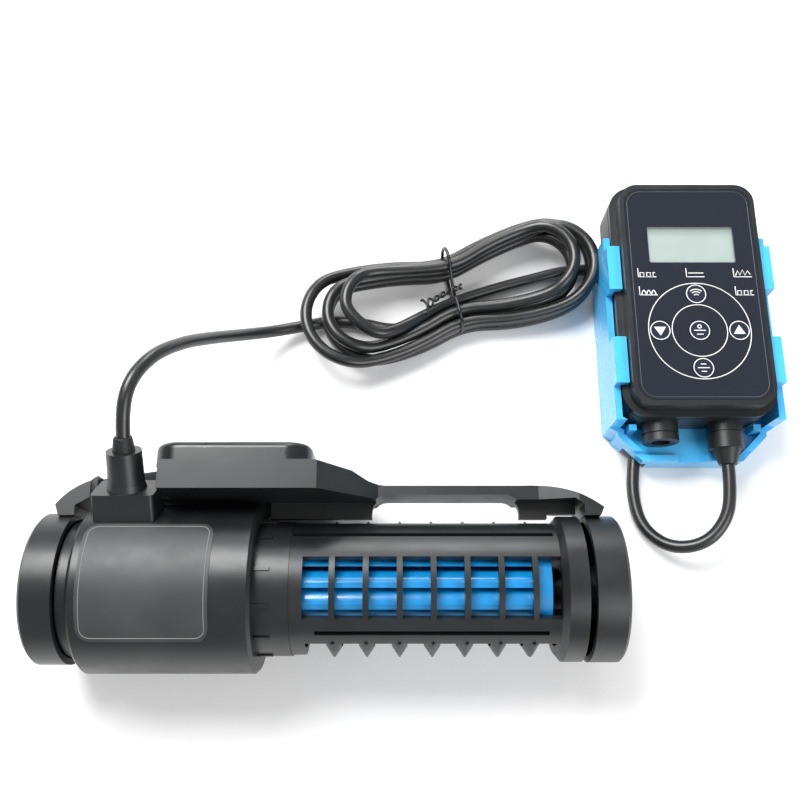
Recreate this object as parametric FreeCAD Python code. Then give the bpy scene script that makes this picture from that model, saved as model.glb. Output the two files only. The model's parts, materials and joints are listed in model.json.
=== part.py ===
import FreeCAD, Part
import math
import os

V = FreeCAD.Vector
X_AXIS = V(1, 0, 0)
Z_AXIS = V(0, 0, 1)
ORIGIN = V(0, 0, 0)
PAST = 1.0              # how far a cutting solid runs past the face it opens

# Cross-flow wave maker pump for an aquarium, lying on its side as it comes out of the box:
# pump in front, its lead wound into a hank behind it, controller in its wall holder at the right.
# Millimetres, +Z up, +X along the pump from motor to strainer, +Y from the pump to the glass.
# The origin is the middle of the magnet seat's side face, which lies on the table.

# ---- pump: lengths along its axis, from the motor's end to the strainer's end ----
CUP_DEPTH = 10.0
NECK_LENGTH = 5.0
HOUSING_LENGTH = 53.4
COLLAR_LENGTH = 14.5
WINDOW_LENGTH = 77.2
FLANGE_LENGTH = 7.7
END_GAP = 2.2
PUMP_LENGTH = (2 * CUP_DEPTH + NECK_LENGTH + HOUSING_LENGTH + COLLAR_LENGTH
               + WINDOW_LENGTH + FLANGE_LENGTH + END_GAP)

# ---- pump: radii ----
HOUSING_R = 26.0
HOUSING_WALL = 2.5
LEFT_CUP_R = 23.4
RIGHT_CUP_R = 22.6
CUP_WALL = 2.0
COLLAR_R = 20.75
CAGE_R = 20.3
CAGE_WALL = 2.5
FIN_TIP_R = 21.0
FLANGE_R = 22.5
PIVOT_R = 5.0
SHAFT_R = 2.0
CAN_R = 9.9
CAN_WALL = 0.8

# ---- clearances ----
RUNNING = 0.05          # shaft in bush, pivot pin in bore
FITTED = 0.1            # parts that stay put in one another
FREE = 0.3              # pieces that slide past one another
ROTOR_GAP = 0.5         # magnet in its can
IMPELLER_GAP = 1.2      # blade tips to the strainer
HOUSING_GAP = 1.0       # housing to the bracket's bar

# ---- strainer ----
RIB_COUNT = 7
RIB_PITCH = 10.1
RIB_FIRST = 8.8         # first rib from the collar
RIB_WIDTH = 1.75
FIN_WIDTH = 4.8
OUTLET = (68.0, 122.0)  # angles from +Y towards +Z
LOWER_SPAR = (122.0, 149.0)
INTAKE = (149.0, 360.0)
FLOOR_SPAR = (244.0, 262.0)
UPPER_SPAR = (0.0, 68.0)
GROOVE = (40.5, 45.5)
SLOT = (133.5, 138.0)
GROOVE_DEPTH = 1.7
TICK_COUNT = 12
TICK_ANGLE = 19.5

# ---- impeller ----
BLADE_COUNT = 16
BLADE_INNER_R = 11.4
BLADE_SWEEP = 22.0
BLADE_THICK_DEG = 5.5
DISC_THICK = 4.3
HUB_R = 4.0

# ---- motor ----
CORE_LENGTH = 24.0
CORE_BACK = 3.0
TOOTH_WIDTH = 5.0
POLE_COUNT = 6
COIL_SIDE = 2.0
BOARD_THICK = 1.6
BEARING_LENGTH = 3.6
FRONT_WALL = 3.0
SPIGOT_LENGTH = 8.6
CAP_SPIGOT = 4.5
SEAL_WIRE_R = 0.85
CAN_SEAL_R = 0.55

# ---- lead gland on the housing ----
GLAND_ANGLE = 33.0      # from +Y towards +Z
GLAND_STATION = 13.4    # its middle, from the housing's outer end
PEDESTAL = (19.0, 13.0)
PEDESTAL_R = 34.0
BOSS_R = 5.5
BOSS_TOP = 46.0
BOSS_RECESS = 4.0
PLUG_IN_R = 3.6

# ---- label ----
LABEL_LENGTH = 38.5
LABEL_WIDTH = 34.4
LABEL_FROM_END = 3.0
LABEL_THICK = 0.2
LABEL_CORNER = 4.0

# ---- bracket ----
BRACKET_WIDTH = 2 * HOUSING_R
BAR_THICK = 4.4
BAR_WIDTH = 15.0        # the bar beside the strainer, narrower than the seat
SEAT_THICK = 8.8
SEAT_LENGTH = 51.0
SEAT_STATION = 19.0     # the seat's left end, from the housing's outer end
ARM_FOOT = 22.0         # width of an arm where it joins its cup
ARM_FOOT_LENGTH = 6.0
WEB_THICK = 3.0
HOLE_LENGTH = 47.4
HOLE_STATION = 20.1     # finger hole's left end, from the collar's end
HOLE_CORNER = 5.0
HOLE_BITE = 1.5         # how far the finger hole thins the bar beside it
WEB_GAP = 0.8

# ---- magnets ----
MAGNET = (18.5, 5.0, 30.0)
MAGNET_PITCH = 20.5
MAGNET_SHIFT = 1.5      # the pair sits this far from the seat's middle, clear of the gland
PAD_THICK = 0.8
CASE_LENGTH = 49.5
CASE_WIDTH = 36.0
CASE_THICK = 6.15
CASE_CORNER = 8.0
CASE_WALL = 1.4

# ---- cord ----
CORD_R = 2.2

# ---- controller, in its own frame: middle of the case at the origin, table at z = 0 ----
HOLDER_LEFT = 125.7     # where the holder's left rail stands in the row's frame
CASE_Y = 69.0           # where the controller's middle stands
CASE_W = 52.5
CASE_H = 87.0
CASE_R = 9.0
SHELL_WALL = 2.0
BACK_DEPTH = 12.5
GASKET_THICK = 0.7
LEDGE_THICK = 2.3
BEZEL_INSET = 2.3
BEZEL_DEPTH = 6.0
PANEL_W = 44.5
PANEL_H = 78.5
PANEL_R = 5.5
PANEL_THICK = 1.1
PANEL_LEDGE = 2.0
LCD_W = 30.0
LCD_H = 13.8
LCD_Y = 17.6
LCD_FRAME = 3.2
KEY_R = 3.65
KEY_RING_Y = -14.65
KEY_RING_R = 13.45
KEY_FLANGE = 1.15
KEY_FLANGE_THICK = 0.8
KEY_TRAVEL = 0.4
SWITCH = (6.0, 6.0, 1.5)
PORT_Z = 6.6            # port axis above the controller's back
INLET_X = -12.2
INLET_R = 6.2
INLET_LENGTH = 6.8
INLET_BORE_R = 3.2
SOCKET_X = 10.2
SOCKET_R = 6.0
SOCKET_LENGTH = 3.5
PORT_NECK_R = 4.6
PORT_DEPTH = 8.5
PLUG_NOSE_R = 3.5
PLUG_GRIP = 5.6
BOOT_LENGTH = 5.2
SCREW_R = 1.2
SCREW_HEAD_R = 2.5
BOSS_OUT_R = 3.3

# ---- wall holder ----
PLATE_Z = 6.0
PLATE_THICK = 2.4
HOLDER_WALL = 2.25
HOLDER_TOP = 26.0       # above the controller's middle
HOLDER_FOOT = 55.6      # below the controller's middle
TRAY_STEP = 2.85
TRAY_CORNER = 8.5
TRAY_RIM_Z = 12.0
LIP_Z = 10.4
CLIP_THICK = 2.6
CLIP_REACH = 4.45
CLIPS = ((2.1, 18.6), (-32.2, -15.6))
HOLDER_HOLE_R = 2.2
HOLDER_HOLES = (18.0, -25.0)
NOTCH_W = 8.0
NOTCH_DEPTH = 10.0      # how far the cord's notch reaches in from the tray's foot
ENTRY_Y = 21.0          # where the cord goes in under the left rail
EXIT_X = -19.2          # where it comes out under the tray
STOP_X = 21.5

# ---- stations and radii that follow ----
U_LEFT = -PUMP_LENGTH / 2
U_NECK = U_LEFT + CUP_DEPTH
U_HOUSING = U_NECK + NECK_LENGTH
U_COLLAR = U_HOUSING + HOUSING_LENGTH
U_WINDOW = U_COLLAR + COLLAR_LENGTH
U_FLANGE = U_WINDOW + WINDOW_LENGTH
U_FLANGE_END = U_FLANGE + FLANGE_LENGTH
U_CUP = U_FLANGE_END + END_GAP
U_RIGHT = U_CUP + CUP_DEPTH
HOUSING_BORE = HOUSING_R - HOUSING_WALL
CAGE_BORE = CAGE_R - CAGE_WALL
COLLAR_BORE = CAGE_BORE + 0.4
IMPELLER_R = CAGE_BORE - IMPELLER_GAP
BAR_IN = HOUSING_R + HOUSING_GAP
SEAT_OUT = BAR_IN + SEAT_THICK
BAR_OUT = BAR_IN + BAR_THICK
SEAT_LEFT = U_HOUSING + SEAT_STATION
SEAT_RIGHT = SEAT_LEFT + SEAT_LENGTH
SEAT_MIDDLE = (SEAT_LEFT + SEAT_RIGHT) / 2
PUMP_AT = V(-SEAT_MIDDLE, -(BAR_IN + SEAT_THICK / 2), HOUSING_R)
GLAND_U = U_HOUSING + GLAND_STATION
CAN_BORE = CAN_R - CAN_WALL
CAN_END = U_HOUSING + 9.0
BEARING_OUT = CAN_BORE - RUNNING
CORE_START = U_HOUSING + 13.0
BACK_Z = PLATE_Z + PLATE_THICK + FREE
SPLIT_Z = BACK_Z + BACK_DEPTH
FLANGE_Z = SPLIT_Z + GASKET_THICK
BEZEL_Z = FLANGE_Z + LEDGE_THICK
FACE_Z = BEZEL_Z + BEZEL_DEPTH
PANEL_Z = FACE_Z - PANEL_THICK
PORT_LEVEL = BACK_Z + PORT_Z
CASE_FOOT = -CASE_H / 2
RAIL_IN = CASE_W / 2 + FREE
RAIL_OUT = RAIL_IN + HOLDER_WALL
CASE_X = HOLDER_LEFT + RAIL_OUT
CLIP_Z = BEZEL_Z + 0.2


# ---------------------------------------------------------------- helpers
def turned(points, start=0.0, sweep=360.0):
    """A closed outline of (station, radius) points turned about the pump's axis."""
    corners = [V(u, r, 0) for u, r in points]
    face = Part.Face(Part.makePolygon(corners + corners[:1]))
    solid = face.revolve(ORIGIN, X_AXIS, sweep)
    solid.rotate(ORIGIN, X_AXIS, start)
    return solid


def ring(outer, inner, u0, u1, start=0.0, sweep=360.0):
    return turned([(u0, inner), (u1, inner), (u1, outer), (u0, outer)], start, sweep)


def rod(radius, u0, u1):
    return Part.makeCylinder(radius, u1 - u0, V(u0, 0, 0), X_AXIS)


def block(x0, x1, y0, y1, z0, z1):
    return Part.makeBox(x1 - x0, y1 - y0, z1 - z0, V(x0, y0, z0))


def torus(major, minor, u):
    return Part.makeTorus(major, minor, V(u, 0, 0), X_AXIS)


def fused(shapes):
    solid = shapes[0].fuse(shapes[1:]) if len(shapes) > 1 else shapes[0]
    return solid.removeSplitter()


def plate(width, height, radius, z0, z1, middle=(0.0, 0.0)):
    """A rounded rectangle of the given size standing from z0 to z1."""
    x, y = middle
    body = block(x - width / 2, x + width / 2, y - height / 2, y + height / 2, z0, z1)
    corners = [edge for edge in body.Edges
               if abs(edge.tangentAt(edge.FirstParameter).z) > 0.9]
    return body.makeFillet(radius, corners)


def post(radius, x, y, z0, z1):
    return Part.makeCylinder(radius, z1 - z0, V(x, y, z0), Z_AXIS)


def barrel(radius, x, y0, y1, z):
    """A cylinder along Y."""
    return Part.makeCylinder(radius, y1 - y0, V(x, y0, z), V(0, 1, 0))


def save(name, shape, at):
    moved = shape.copy()
    moved.translate(at)
    moved.exportStep("parts/" + name + ".step")


def pump(name, shape):
    save(name, shape, PUMP_AT)


def controller(name, shape):
    save(name, shape, V(CASE_X, CASE_Y, 0))


def rib_stations():
    return [U_WINDOW + RIB_FIRST + i * RIB_PITCH for i in range(RIB_COUNT)]


# ---------------------------------------------------------------- motor
def motor_housing():
    chamfer = 1.0
    shell = turned([(U_HOUSING, 0), (U_COLLAR, 0), (U_COLLAR, HOUSING_R - chamfer),
                    (U_COLLAR - chamfer, HOUSING_R), (U_HOUSING + chamfer, HOUSING_R),
                    (U_HOUSING, HOUSING_R - chamfer)])
    length, width = PEDESTAL
    pedestal = plate(length, width, 1.5, 0, PEDESTAL_R, (GLAND_U, 0))
    pedestal.rotate(ORIGIN, X_AXIS, GLAND_ANGLE - 90)
    spigot = rod(COLLAR_BORE - FITTED, U_COLLAR, U_COLLAR + SPIGOT_LENGTH)
    body = fused([shell, pedestal, spigot])
    hollow = rod(HOUSING_BORE, U_HOUSING - PAST, U_COLLAR - FRONT_WALL)
    mouth = rod(COLLAR_BORE - FITTED - HOUSING_WALL, U_COLLAR, U_COLLAR + SPIGOT_LENGTH + PAST)
    can_hole = rod(CAN_R + FITTED, U_COLLAR - FRONT_WALL - PAST, U_COLLAR + PAST)
    seal_groove = ring(CAN_R + 3.6, CAN_R + 2.2, U_COLLAR - 2 * CAN_SEAL_R, U_COLLAR + PAST)
    lead_hole = radial(PLUG_IN_R + FITTED, HOUSING_BORE - PAST, PEDESTAL_R + PAST)
    return body.cut([hollow, mouth, can_hole, seal_groove, lead_hole])


def radial(radius, r0, r1, top_radius=None):
    """A round bar or cone standing out from the axis along the gland's direction."""
    if top_radius is None:
        bar = Part.makeCylinder(radius, r1 - r0, V(GLAND_U, 0, r0), Z_AXIS)
    else:
        bar = Part.makeCone(radius, top_radius, r1 - r0, V(GLAND_U, 0, r0), Z_AXIS)
    bar.rotate(ORIGIN, X_AXIS, GLAND_ANGLE - 90)
    return bar


def cord_gland():
    foot = radial(BOSS_R + 0.5, PEDESTAL_R, PEDESTAL_R + 2.0, BOSS_R)
    boss = radial(BOSS_R, PEDESTAL_R + 2.0, BOSS_TOP, BOSS_R - 0.2)
    stem = radial(PLUG_IN_R, HOUSING_BORE, PEDESTAL_R)
    recess = radial(CORD_R + FREE, BOSS_TOP - BOSS_RECESS, BOSS_TOP + PAST)
    return fused([foot, boss, stem]).cut(recess)


def motor_end_cap():
    neck_r = LEFT_CUP_R - CUP_WALL - FREE
    spigot_end = U_HOUSING + CAP_SPIGOT
    neck = turned([(U_NECK + 0.5, 0), (U_HOUSING, 0), (U_HOUSING, neck_r + 1.2),
                   (U_HOUSING - 1.6, neck_r), (U_NECK + 0.5, neck_r)])
    spigot = rod(HOUSING_BORE - FITTED, U_HOUSING, spigot_end)
    groove_r = HOUSING_BORE - 2 * SEAL_WIRE_R
    middle = (U_HOUSING + spigot_end) / 2
    groove = ring(HOUSING_R, groove_r, middle - SEAL_WIRE_R - 0.1, middle + SEAL_WIRE_R + 0.1)
    pivot_bore = rod(PIVOT_R + RUNNING, U_NECK - PAST, U_HOUSING + 2.0)
    return fused([neck, spigot]).cut([groove, pivot_bore])


def end_cap_seal():
    middle = U_HOUSING + CAP_SPIGOT / 2
    return torus(HOUSING_BORE - SEAL_WIRE_R - 0.05, SEAL_WIRE_R - 0.05, middle)


def can_seal():
    return torus(CAN_R + 2.9, CAN_SEAL_R - 0.05, U_COLLAR - CAN_SEAL_R)


def drive_board():
    start = U_HOUSING + CAP_SPIGOT + 0.6
    return rod(HOUSING_BORE - FREE, start, start + BOARD_THICK)


def stator_core():
    end = CORE_START + CORE_LENGTH
    outer = HOUSING_BORE - FITTED
    back = ring(outer, outer - CORE_BACK, CORE_START, end)
    inner = CAN_R + FREE
    teeth = []
    for i in range(POLE_COUNT):
        tooth = block(CORE_START, end, inner - 1, outer - CORE_BACK / 2,
                      -TOOTH_WIDTH / 2, TOOTH_WIDTH / 2)
        tooth.rotate(ORIGIN, X_AXIS, i * 360 / POLE_COUNT)
        teeth.append(tooth)
    return fused([back] + teeth).cut(rod(inner, CORE_START - PAST, end + PAST))


def stator_coils():
    end = CORE_START + CORE_LENGTH
    r0 = CAN_R + 1.7
    r1 = HOUSING_BORE - FITTED - CORE_BACK - 0.8
    half = TOOTH_WIDTH / 2
    coils = []
    for i in range(POLE_COUNT):
        outer = block(CORE_START - COIL_SIDE, end + COIL_SIDE, r0, r1,
                      -half - COIL_SIDE, half + COIL_SIDE)
        inner = block(CORE_START - FITTED, end + FITTED, r0 - PAST, r1 + PAST,
                      -half - FITTED, half + FITTED)
        coil = outer.cut(inner)
        coil.rotate(ORIGIN, X_AXIS, i * 360 / POLE_COUNT)
        coils.append(coil)
    return Part.makeCompound(coils)


def rotor_can():
    tube = rod(CAN_R, CAN_END, U_COLLAR + 1.4)
    flange = rod(CAN_R + 5.2, U_COLLAR, U_COLLAR + 1.4)
    return fused([tube, flange]).cut(rod(CAN_BORE, CAN_END + 1.0, U_COLLAR + 2.4))


def bearing_stations():
    rear = CAN_END + 1.0
    front = U_COLLAR - BEARING_LENGTH + 1.0
    return rear, front


def motor_bearings():
    return Part.makeCompound([ring(BEARING_OUT, SHAFT_R + RUNNING, u, u + BEARING_LENGTH)
                              for u in bearing_stations()])


def rotor_magnet():
    rear = bearing_stations()[0] + BEARING_LENGTH
    return ring(CAN_BORE - ROTOR_GAP, SHAFT_R, rear + 0.8, CORE_START + CORE_LENGTH + 2.0)


def shaft():
    return rod(SHAFT_R, CAN_END + 1.5, end_bearing_stations()[1] - 0.5)


# ---------------------------------------------------------------- impeller and strainer
def impeller_ends():
    return U_COLLAR + SPIGOT_LENGTH + 1.0, U_FLANGE - 2.4


def end_bearing_stations():
    start = U_FLANGE - 1.0
    return start, start + 4.0


def blade(u0, u1):
    """One curved blade: an arc swept back from the drum's inner radius to its rim."""
    def at(radius, angle):
        return V(u0, radius * math.cos(math.radians(angle)), radius * math.sin(math.radians(angle)))

    middle_r = (BLADE_INNER_R + IMPELLER_R) / 2 + 0.6
    front = [at(BLADE_INNER_R, 0), at(middle_r, BLADE_SWEEP * 0.4), at(IMPELLER_R, BLADE_SWEEP)]
    back = [at(BLADE_INNER_R, BLADE_THICK_DEG), at(middle_r, BLADE_SWEEP * 0.4 + BLADE_THICK_DEG),
            at(IMPELLER_R, BLADE_SWEEP + BLADE_THICK_DEG)]
    outline = Part.Wire([Part.Arc(*front).toShape(), Part.LineSegment(front[2], back[2]).toShape(),
                         Part.Arc(back[2], back[1], back[0]).toShape(),
                         Part.LineSegment(back[0], front[0]).toShape()])
    return Part.Face(outline).extrude(V(u1 - u0, 0, 0))


def impeller():
    start, end = impeller_ends()
    left = rod(IMPELLER_R, start, start + 2.4)
    right = rod(IMPELLER_R, end - DISC_THICK, end)
    hubs = [rod(HUB_R, start, start + 8.0), rod(HUB_R, end - DISC_THICK - 4.0, end)]
    blades = []
    for i in range(BLADE_COUNT):
        one = blade(start + 1.2, end - DISC_THICK / 2)
        one.rotate(ORIGIN, X_AXIS, i * 360 / BLADE_COUNT)
        blades.append(one)
    return fused([left, right] + hubs + blades).cut(rod(SHAFT_R, start - PAST, end + PAST))


def thrust_washers():
    rear = bearing_stations()[0] + BEARING_LENGTH + 0.1
    end = impeller_ends()[1]
    return Part.makeCompound([ring(HUB_R - 0.5, SHAFT_R + RUNNING, rear, rear + 0.6),
                              ring(HUB_R - 0.5, SHAFT_R + RUNNING, end + 0.1, end + 0.9)])


def strainer_cage():
    collar = turned([(U_COLLAR, COLLAR_BORE), (U_WINDOW, COLLAR_BORE), (U_WINDOW, CAGE_R),
                     (U_WINDOW - 4.0, CAGE_R + 0.1), (U_WINDOW - 4.0, COLLAR_R),
                     (U_COLLAR, COLLAR_R)])
    ticks = [ring(COLLAR_R + 0.5, COLLAR_R - 0.5, U_COLLAR, U_COLLAR + 4.8,
                  TICK_ANGLE + i * 360 / TICK_COUNT - 1.6, 3.2) for i in range(TICK_COUNT)]
    spars = [ring(CAGE_R, CAGE_BORE, U_WINDOW - 1, U_FLANGE + 1, first, last - first)
             for first, last in (UPPER_SPAR, LOWER_SPAR, FLOOR_SPAR)]
    ribs = [ring(CAGE_R, CAGE_BORE, u - RIB_WIDTH / 2, u + RIB_WIDTH / 2,
                 OUTLET[0] - 1, OUTLET[1] - OUTLET[0] + 2) for u in rib_stations()]
    fins = [turned([(u - FIN_WIDTH / 2, CAGE_BORE), (u + FIN_WIDTH / 2, CAGE_BORE),
                    (u + 0.2, FIN_TIP_R), (u - 0.2, FIN_TIP_R)],
                   INTAKE[0] - 1, INTAKE[1] - INTAKE[0] + 2) for u in rib_stations()]
    bore = plate_bore()
    flange = turned([(U_FLANGE, CAGE_BORE), (U_FLANGE + 1.9, CAGE_BORE), (U_FLANGE + 1.9, bore),
                     (U_FLANGE_END, bore), (U_FLANGE_END, FLANGE_R), (U_FLANGE + 1.8, FLANGE_R),
                     (U_FLANGE, CAGE_R)])
    body = fused([collar] + ticks + spars + ribs + fins + [flange])
    groove = ring(FLANGE_R, CAGE_R - GROOVE_DEPTH, U_WINDOW - 3.6, U_FLANGE - 1.2,
                  GROOVE[0], GROOVE[1] - GROOVE[0])
    slot = ring(FLANGE_R, CAGE_R - GROOVE_DEPTH, U_WINDOW + 3.6, U_FLANGE - 3.6,
                SLOT[0], SLOT[1] - SLOT[0])
    return body.cut([groove, slot])


def plate_bore():
    return FLANGE_R - CUP_WALL


def end_plate():
    start, stop = end_bearing_stations()
    pin_depth = 3.0
    disc = rod(plate_bore() - FITTED, U_FLANGE + 1.9, U_FLANGE_END - 0.3)
    boss = rod(6.6, start, U_FLANGE + 2.4)
    bearing_seat = rod(HUB_R + RUNNING, start - PAST, stop)
    pin_bore = rod(PIVOT_R + RUNNING, U_FLANGE_END - pin_depth, U_FLANGE_END + PAST)
    return fused([disc, boss]).cut([bearing_seat, pin_bore])


def end_bearing():
    start, stop = end_bearing_stations()
    return ring(HUB_R, SHAFT_R + RUNNING, start, stop - 0.1)


# ---------------------------------------------------------------- bracket and magnets
def bracket():
    slope_y = SEAT_OUT - 1.3
    foot_y = LEFT_CUP_R - CUP_WALL
    foot_in = ARM_FOOT_LENGTH
    left_tip = V(U_NECK - foot_in, LEFT_CUP_R + 1.4, 0)
    right_tip = V(U_CUP + foot_in, RIGHT_CUP_R + 1.4, 0)
    shoulder = V(U_HOUSING + 3.6, BAR_IN + 6.4, 0)
    curve = V(U_NECK + 0.2, BAR_IN + 3.4, 0)
    seat_end = V(SEAT_RIGHT + 12.0, slope_y, 0)
    bend = V(SEAT_RIGHT + 17.0, SEAT_OUT - 3.6, 0)
    bar_start = V(SEAT_RIGHT + 22.0, BAR_OUT, 0)
    bar_end = V(U_FLANGE - 9.0, BAR_OUT, 0)
    arch = V(U_FLANGE_END + 0.2, BAR_IN + 1.6, 0)
    edges = [
        Part.Arc(left_tip, curve, shoulder).toShape(),
        Part.LineSegment(shoulder, V(SEAT_LEFT, SEAT_OUT, 0)).toShape(),
        Part.LineSegment(V(SEAT_LEFT, SEAT_OUT, 0), V(SEAT_RIGHT, SEAT_OUT, 0)).toShape(),
        Part.LineSegment(V(SEAT_RIGHT, SEAT_OUT, 0), seat_end).toShape(),
        Part.LineSegment(seat_end, bend).toShape(),
        Part.LineSegment(bend, bar_start).toShape(),
        Part.LineSegment(bar_start, bar_end).toShape(),
        Part.Arc(bar_end, arch, right_tip).toShape(),
    ]
    under = [right_tip, V(U_CUP + foot_in - 1.2, foot_y, 0), V(U_CUP - 0.2, foot_y, 0),
             V(U_CUP - 0.2, BAR_IN - 2.0, 0), V(U_CUP - 3.0, BAR_IN, 0),
             V(U_HOUSING - 0.6, BAR_IN, 0), V(U_NECK + 0.2, BAR_IN - 2.4, 0),
             V(U_NECK + 0.2, foot_y, 0), V(U_NECK - foot_in + 1.2, foot_y, 0), left_tip]
    edges += [Part.LineSegment(a, b).toShape() for a, b in zip(under, under[1:])]
    side = Part.Face(Part.Wire(edges))
    side.translate(V(0, 0, -BRACKET_WIDTH / 2))
    strip = side.extrude(V(0, 0, BRACKET_WIDTH))
    strip = strip.common(bracket_plan())
    strip = fused([strip, bar_web()]).cut(finger_hole(FIN_TIP_R + WEB_GAP))
    cups = [cup(U_LEFT, U_NECK, LEFT_CUP_R), cup(U_RIGHT, U_CUP, RIGHT_CUP_R)]
    body = fused([strip] + cups)
    hollows = [rod(LEFT_CUP_R - CUP_WALL, U_LEFT + CUP_WALL, U_NECK + PAST),
               rod(RIGHT_CUP_R - CUP_WALL, U_CUP - PAST, U_RIGHT - CUP_WALL)]
    pins = [rod(PIVOT_R + 2.0, U_LEFT, U_NECK - 0.5), rod(PIVOT_R + 2.0, U_CUP + 0.5, U_RIGHT)]
    holes = [rod(PIVOT_R, U_LEFT + CUP_WALL, U_NECK + PAST),
             rod(PIVOT_R, U_CUP - PAST, U_RIGHT - CUP_WALL)]
    body = body.cut(hollows).fuse(pins).cut(holes + magnet_pockets() + [gland_notch()])
    return body.removeSplitter()


def bracket_plan():
    """The outline seen from the glass: a wide seat, a narrow bar and a foot at each cup."""
    half = BRACKET_WIDTH / 2
    foot = ARM_FOOT / 2
    left, right = U_NECK - ARM_FOOT_LENGTH - PAST, U_CUP + ARM_FOOT_LENGTH + PAST
    neck_left, neck_right = U_HOUSING - 0.5, U_FLANGE_END + 0.5
    full_left, full_right = U_HOUSING + 15.0, SEAT_RIGHT + 2.0
    bar_left, bar_right = SEAT_RIGHT + 20.0, U_FLANGE - 4.0
    bar = BAR_WIDTH / 2
    up = [V(left, 0, foot), V(neck_left, 0, foot), V(full_left, 0, half),
          V(full_right, 0, half), V(bar_left, 0, bar), V(bar_right, 0, bar),
          V(neck_right, 0, foot), V(right, 0, foot)]
    down = [V(p.x, 0, -p.z) for p in reversed(up)]
    face = Part.Face(Part.makePolygon(up + down + up[:1]))
    return face.extrude(V(0, SEAT_OUT + PAST, 0))


def finger_hole(low):
    hole_left = U_COLLAR + COLLAR_LENGTH + HOLE_STATION
    return plate(HOLE_LENGTH, 2 * (BAR_IN + HOLE_BITE - low), HOLE_CORNER, -BRACKET_WIDTH,
                 BRACKET_WIDTH, (hole_left + HOLE_LENGTH / 2, low))


def bar_web():
    """The rib that stands on the bar beside the strainer."""
    low = FIN_TIP_R + WEB_GAP
    web = block(U_COLLAR + 2.0, U_CUP - 1.4, low, BAR_IN + 0.5, -WEB_THICK / 2, WEB_THICK / 2)
    flange_room = rod(FLANGE_R + WEB_GAP, U_FLANGE - WEB_GAP, U_CUP + PAST)
    return web.cut(flange_room)


def cup(outer, inner, radius):
    """A round end cup, its outer rim chamfered."""
    chamfer = 0.9 if inner > outer else -0.9
    return turned([(outer, 0), (inner, 0), (inner, radius), (outer + chamfer, radius),
                   (outer, radius - abs(chamfer))])


def pivot_pins():
    left = rod(PIVOT_R, U_LEFT + CUP_WALL, U_HOUSING + 1.6)
    right = rod(PIVOT_R, U_FLANGE_END - 2.6, U_RIGHT - CUP_WALL)
    return Part.makeCompound([left, right])


def magnet_places():
    middle = SEAT_MIDDLE + MAGNET_SHIFT
    return [middle - MAGNET_PITCH / 2, middle + MAGNET_PITCH / 2]


def magnet_pockets():
    length, depth, width = MAGNET
    low = SEAT_OUT - depth
    return [block(u - length / 2 - FITTED, u + length / 2 + FITTED, low, SEAT_OUT + PAST,
                  -width / 2 - FITTED, width / 2 + FITTED) for u in magnet_places()]


def gland_notch():
    length = PEDESTAL[0]
    margin = 1.2
    low = 8.5
    return block(GLAND_U - length / 2 - margin, GLAND_U + length / 2 + margin,
                 BAR_IN - PAST, SEAT_OUT + PAST, low, BRACKET_WIDTH)


def magnets(low, thick):
    length, _, width = MAGNET
    return Part.makeCompound([block(u - length / 2, u + length / 2, low, low + thick,
                                    -width / 2, width / 2) for u in magnet_places()])


def pad(low):
    """A rubber pad that covers the magnets, its corners rounded like the dry case's."""
    sheet = plate(CASE_LENGTH, CASE_WIDTH, CASE_CORNER, 0, PAD_THICK, (0, 0))
    sheet.rotate(ORIGIN, X_AXIS, -90)
    sheet.translate(V(SEAT_MIDDLE, low, 0))
    return sheet


def wet_pad():
    return pad(SEAT_OUT).cut(gland_notch())


def dry_low():
    return SEAT_OUT + 2 * PAD_THICK + 0.05


def dry_magnet_case():
    body = plate(CASE_LENGTH, CASE_WIDTH, CASE_CORNER, 0, CASE_THICK)
    rim = [edge for edge in body.Edges
           if abs(edge.CenterOfMass.z - CASE_THICK) < 0.01]
    body = body.makeFillet(2.2, rim)
    length, _, width = MAGNET
    for u in magnet_places():
        middle = u - SEAT_MIDDLE
        body = body.cut(block(middle - length / 2 - FITTED, middle + length / 2 + FITTED,
                              -width / 2 - FITTED, width / 2 + FITTED,
                              -PAST, CASE_THICK - CASE_WALL))
    body.rotate(ORIGIN, X_AXIS, -90)
    body.translate(V(SEAT_MIDDLE, dry_low(), 0))
    return body


def label():
    start = U_HOUSING + LABEL_FROM_END
    sheet = ring(HOUSING_R + LABEL_THICK, HOUSING_R, start, start + LABEL_LENGTH, 40, 100)
    outline = plate(LABEL_LENGTH, LABEL_WIDTH, LABEL_CORNER, 0, HOUSING_R + PAST,
                    (start + LABEL_LENGTH / 2, 0))
    return sheet.common(outline)


# ---------------------------------------------------------------- controller
def back_shell():
    body = plate(CASE_W, CASE_H, CASE_R, BACK_Z, SPLIT_Z)
    hollow = plate(CASE_W - 2 * SHELL_WALL, CASE_H - 2 * SHELL_WALL, CASE_R - SHELL_WALL,
                   BACK_Z + SHELL_WALL, SPLIT_Z + PAST)
    bosses = [post(BOSS_OUT_R, x, y, BACK_Z, SPLIT_Z) for x, y in screw_places()]
    body = fused([body.cut(hollow)] + bosses)
    shanks = [post(SCREW_R + FITTED, x, y, BACK_Z - PAST, SPLIT_Z + PAST)
              for x, y in screw_places()]
    heads = [post(SCREW_HEAD_R + FITTED, x, y, BACK_Z - PAST, BACK_Z + 1.8)
             for x, y in screw_places()]
    ports = [barrel(PORT_NECK_R + FITTED, x, CASE_FOOT - PAST, CASE_FOOT + SHELL_WALL + PAST,
                    PORT_LEVEL) for x in (INLET_X, SOCKET_X)]
    return body.cut(shanks + heads + ports)


def screw_places():
    x, y = CASE_W / 2 - 6.0, CASE_H / 2 - 6.4
    return [(sx * x, sy * y) for sx in (-1, 1) for sy in (-1, 1)]


def front_inner():
    """Width and height of the front shell's inside."""
    inset = 2 * (BEZEL_INSET + SHELL_WALL)
    return CASE_W - inset, CASE_H - inset


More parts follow.
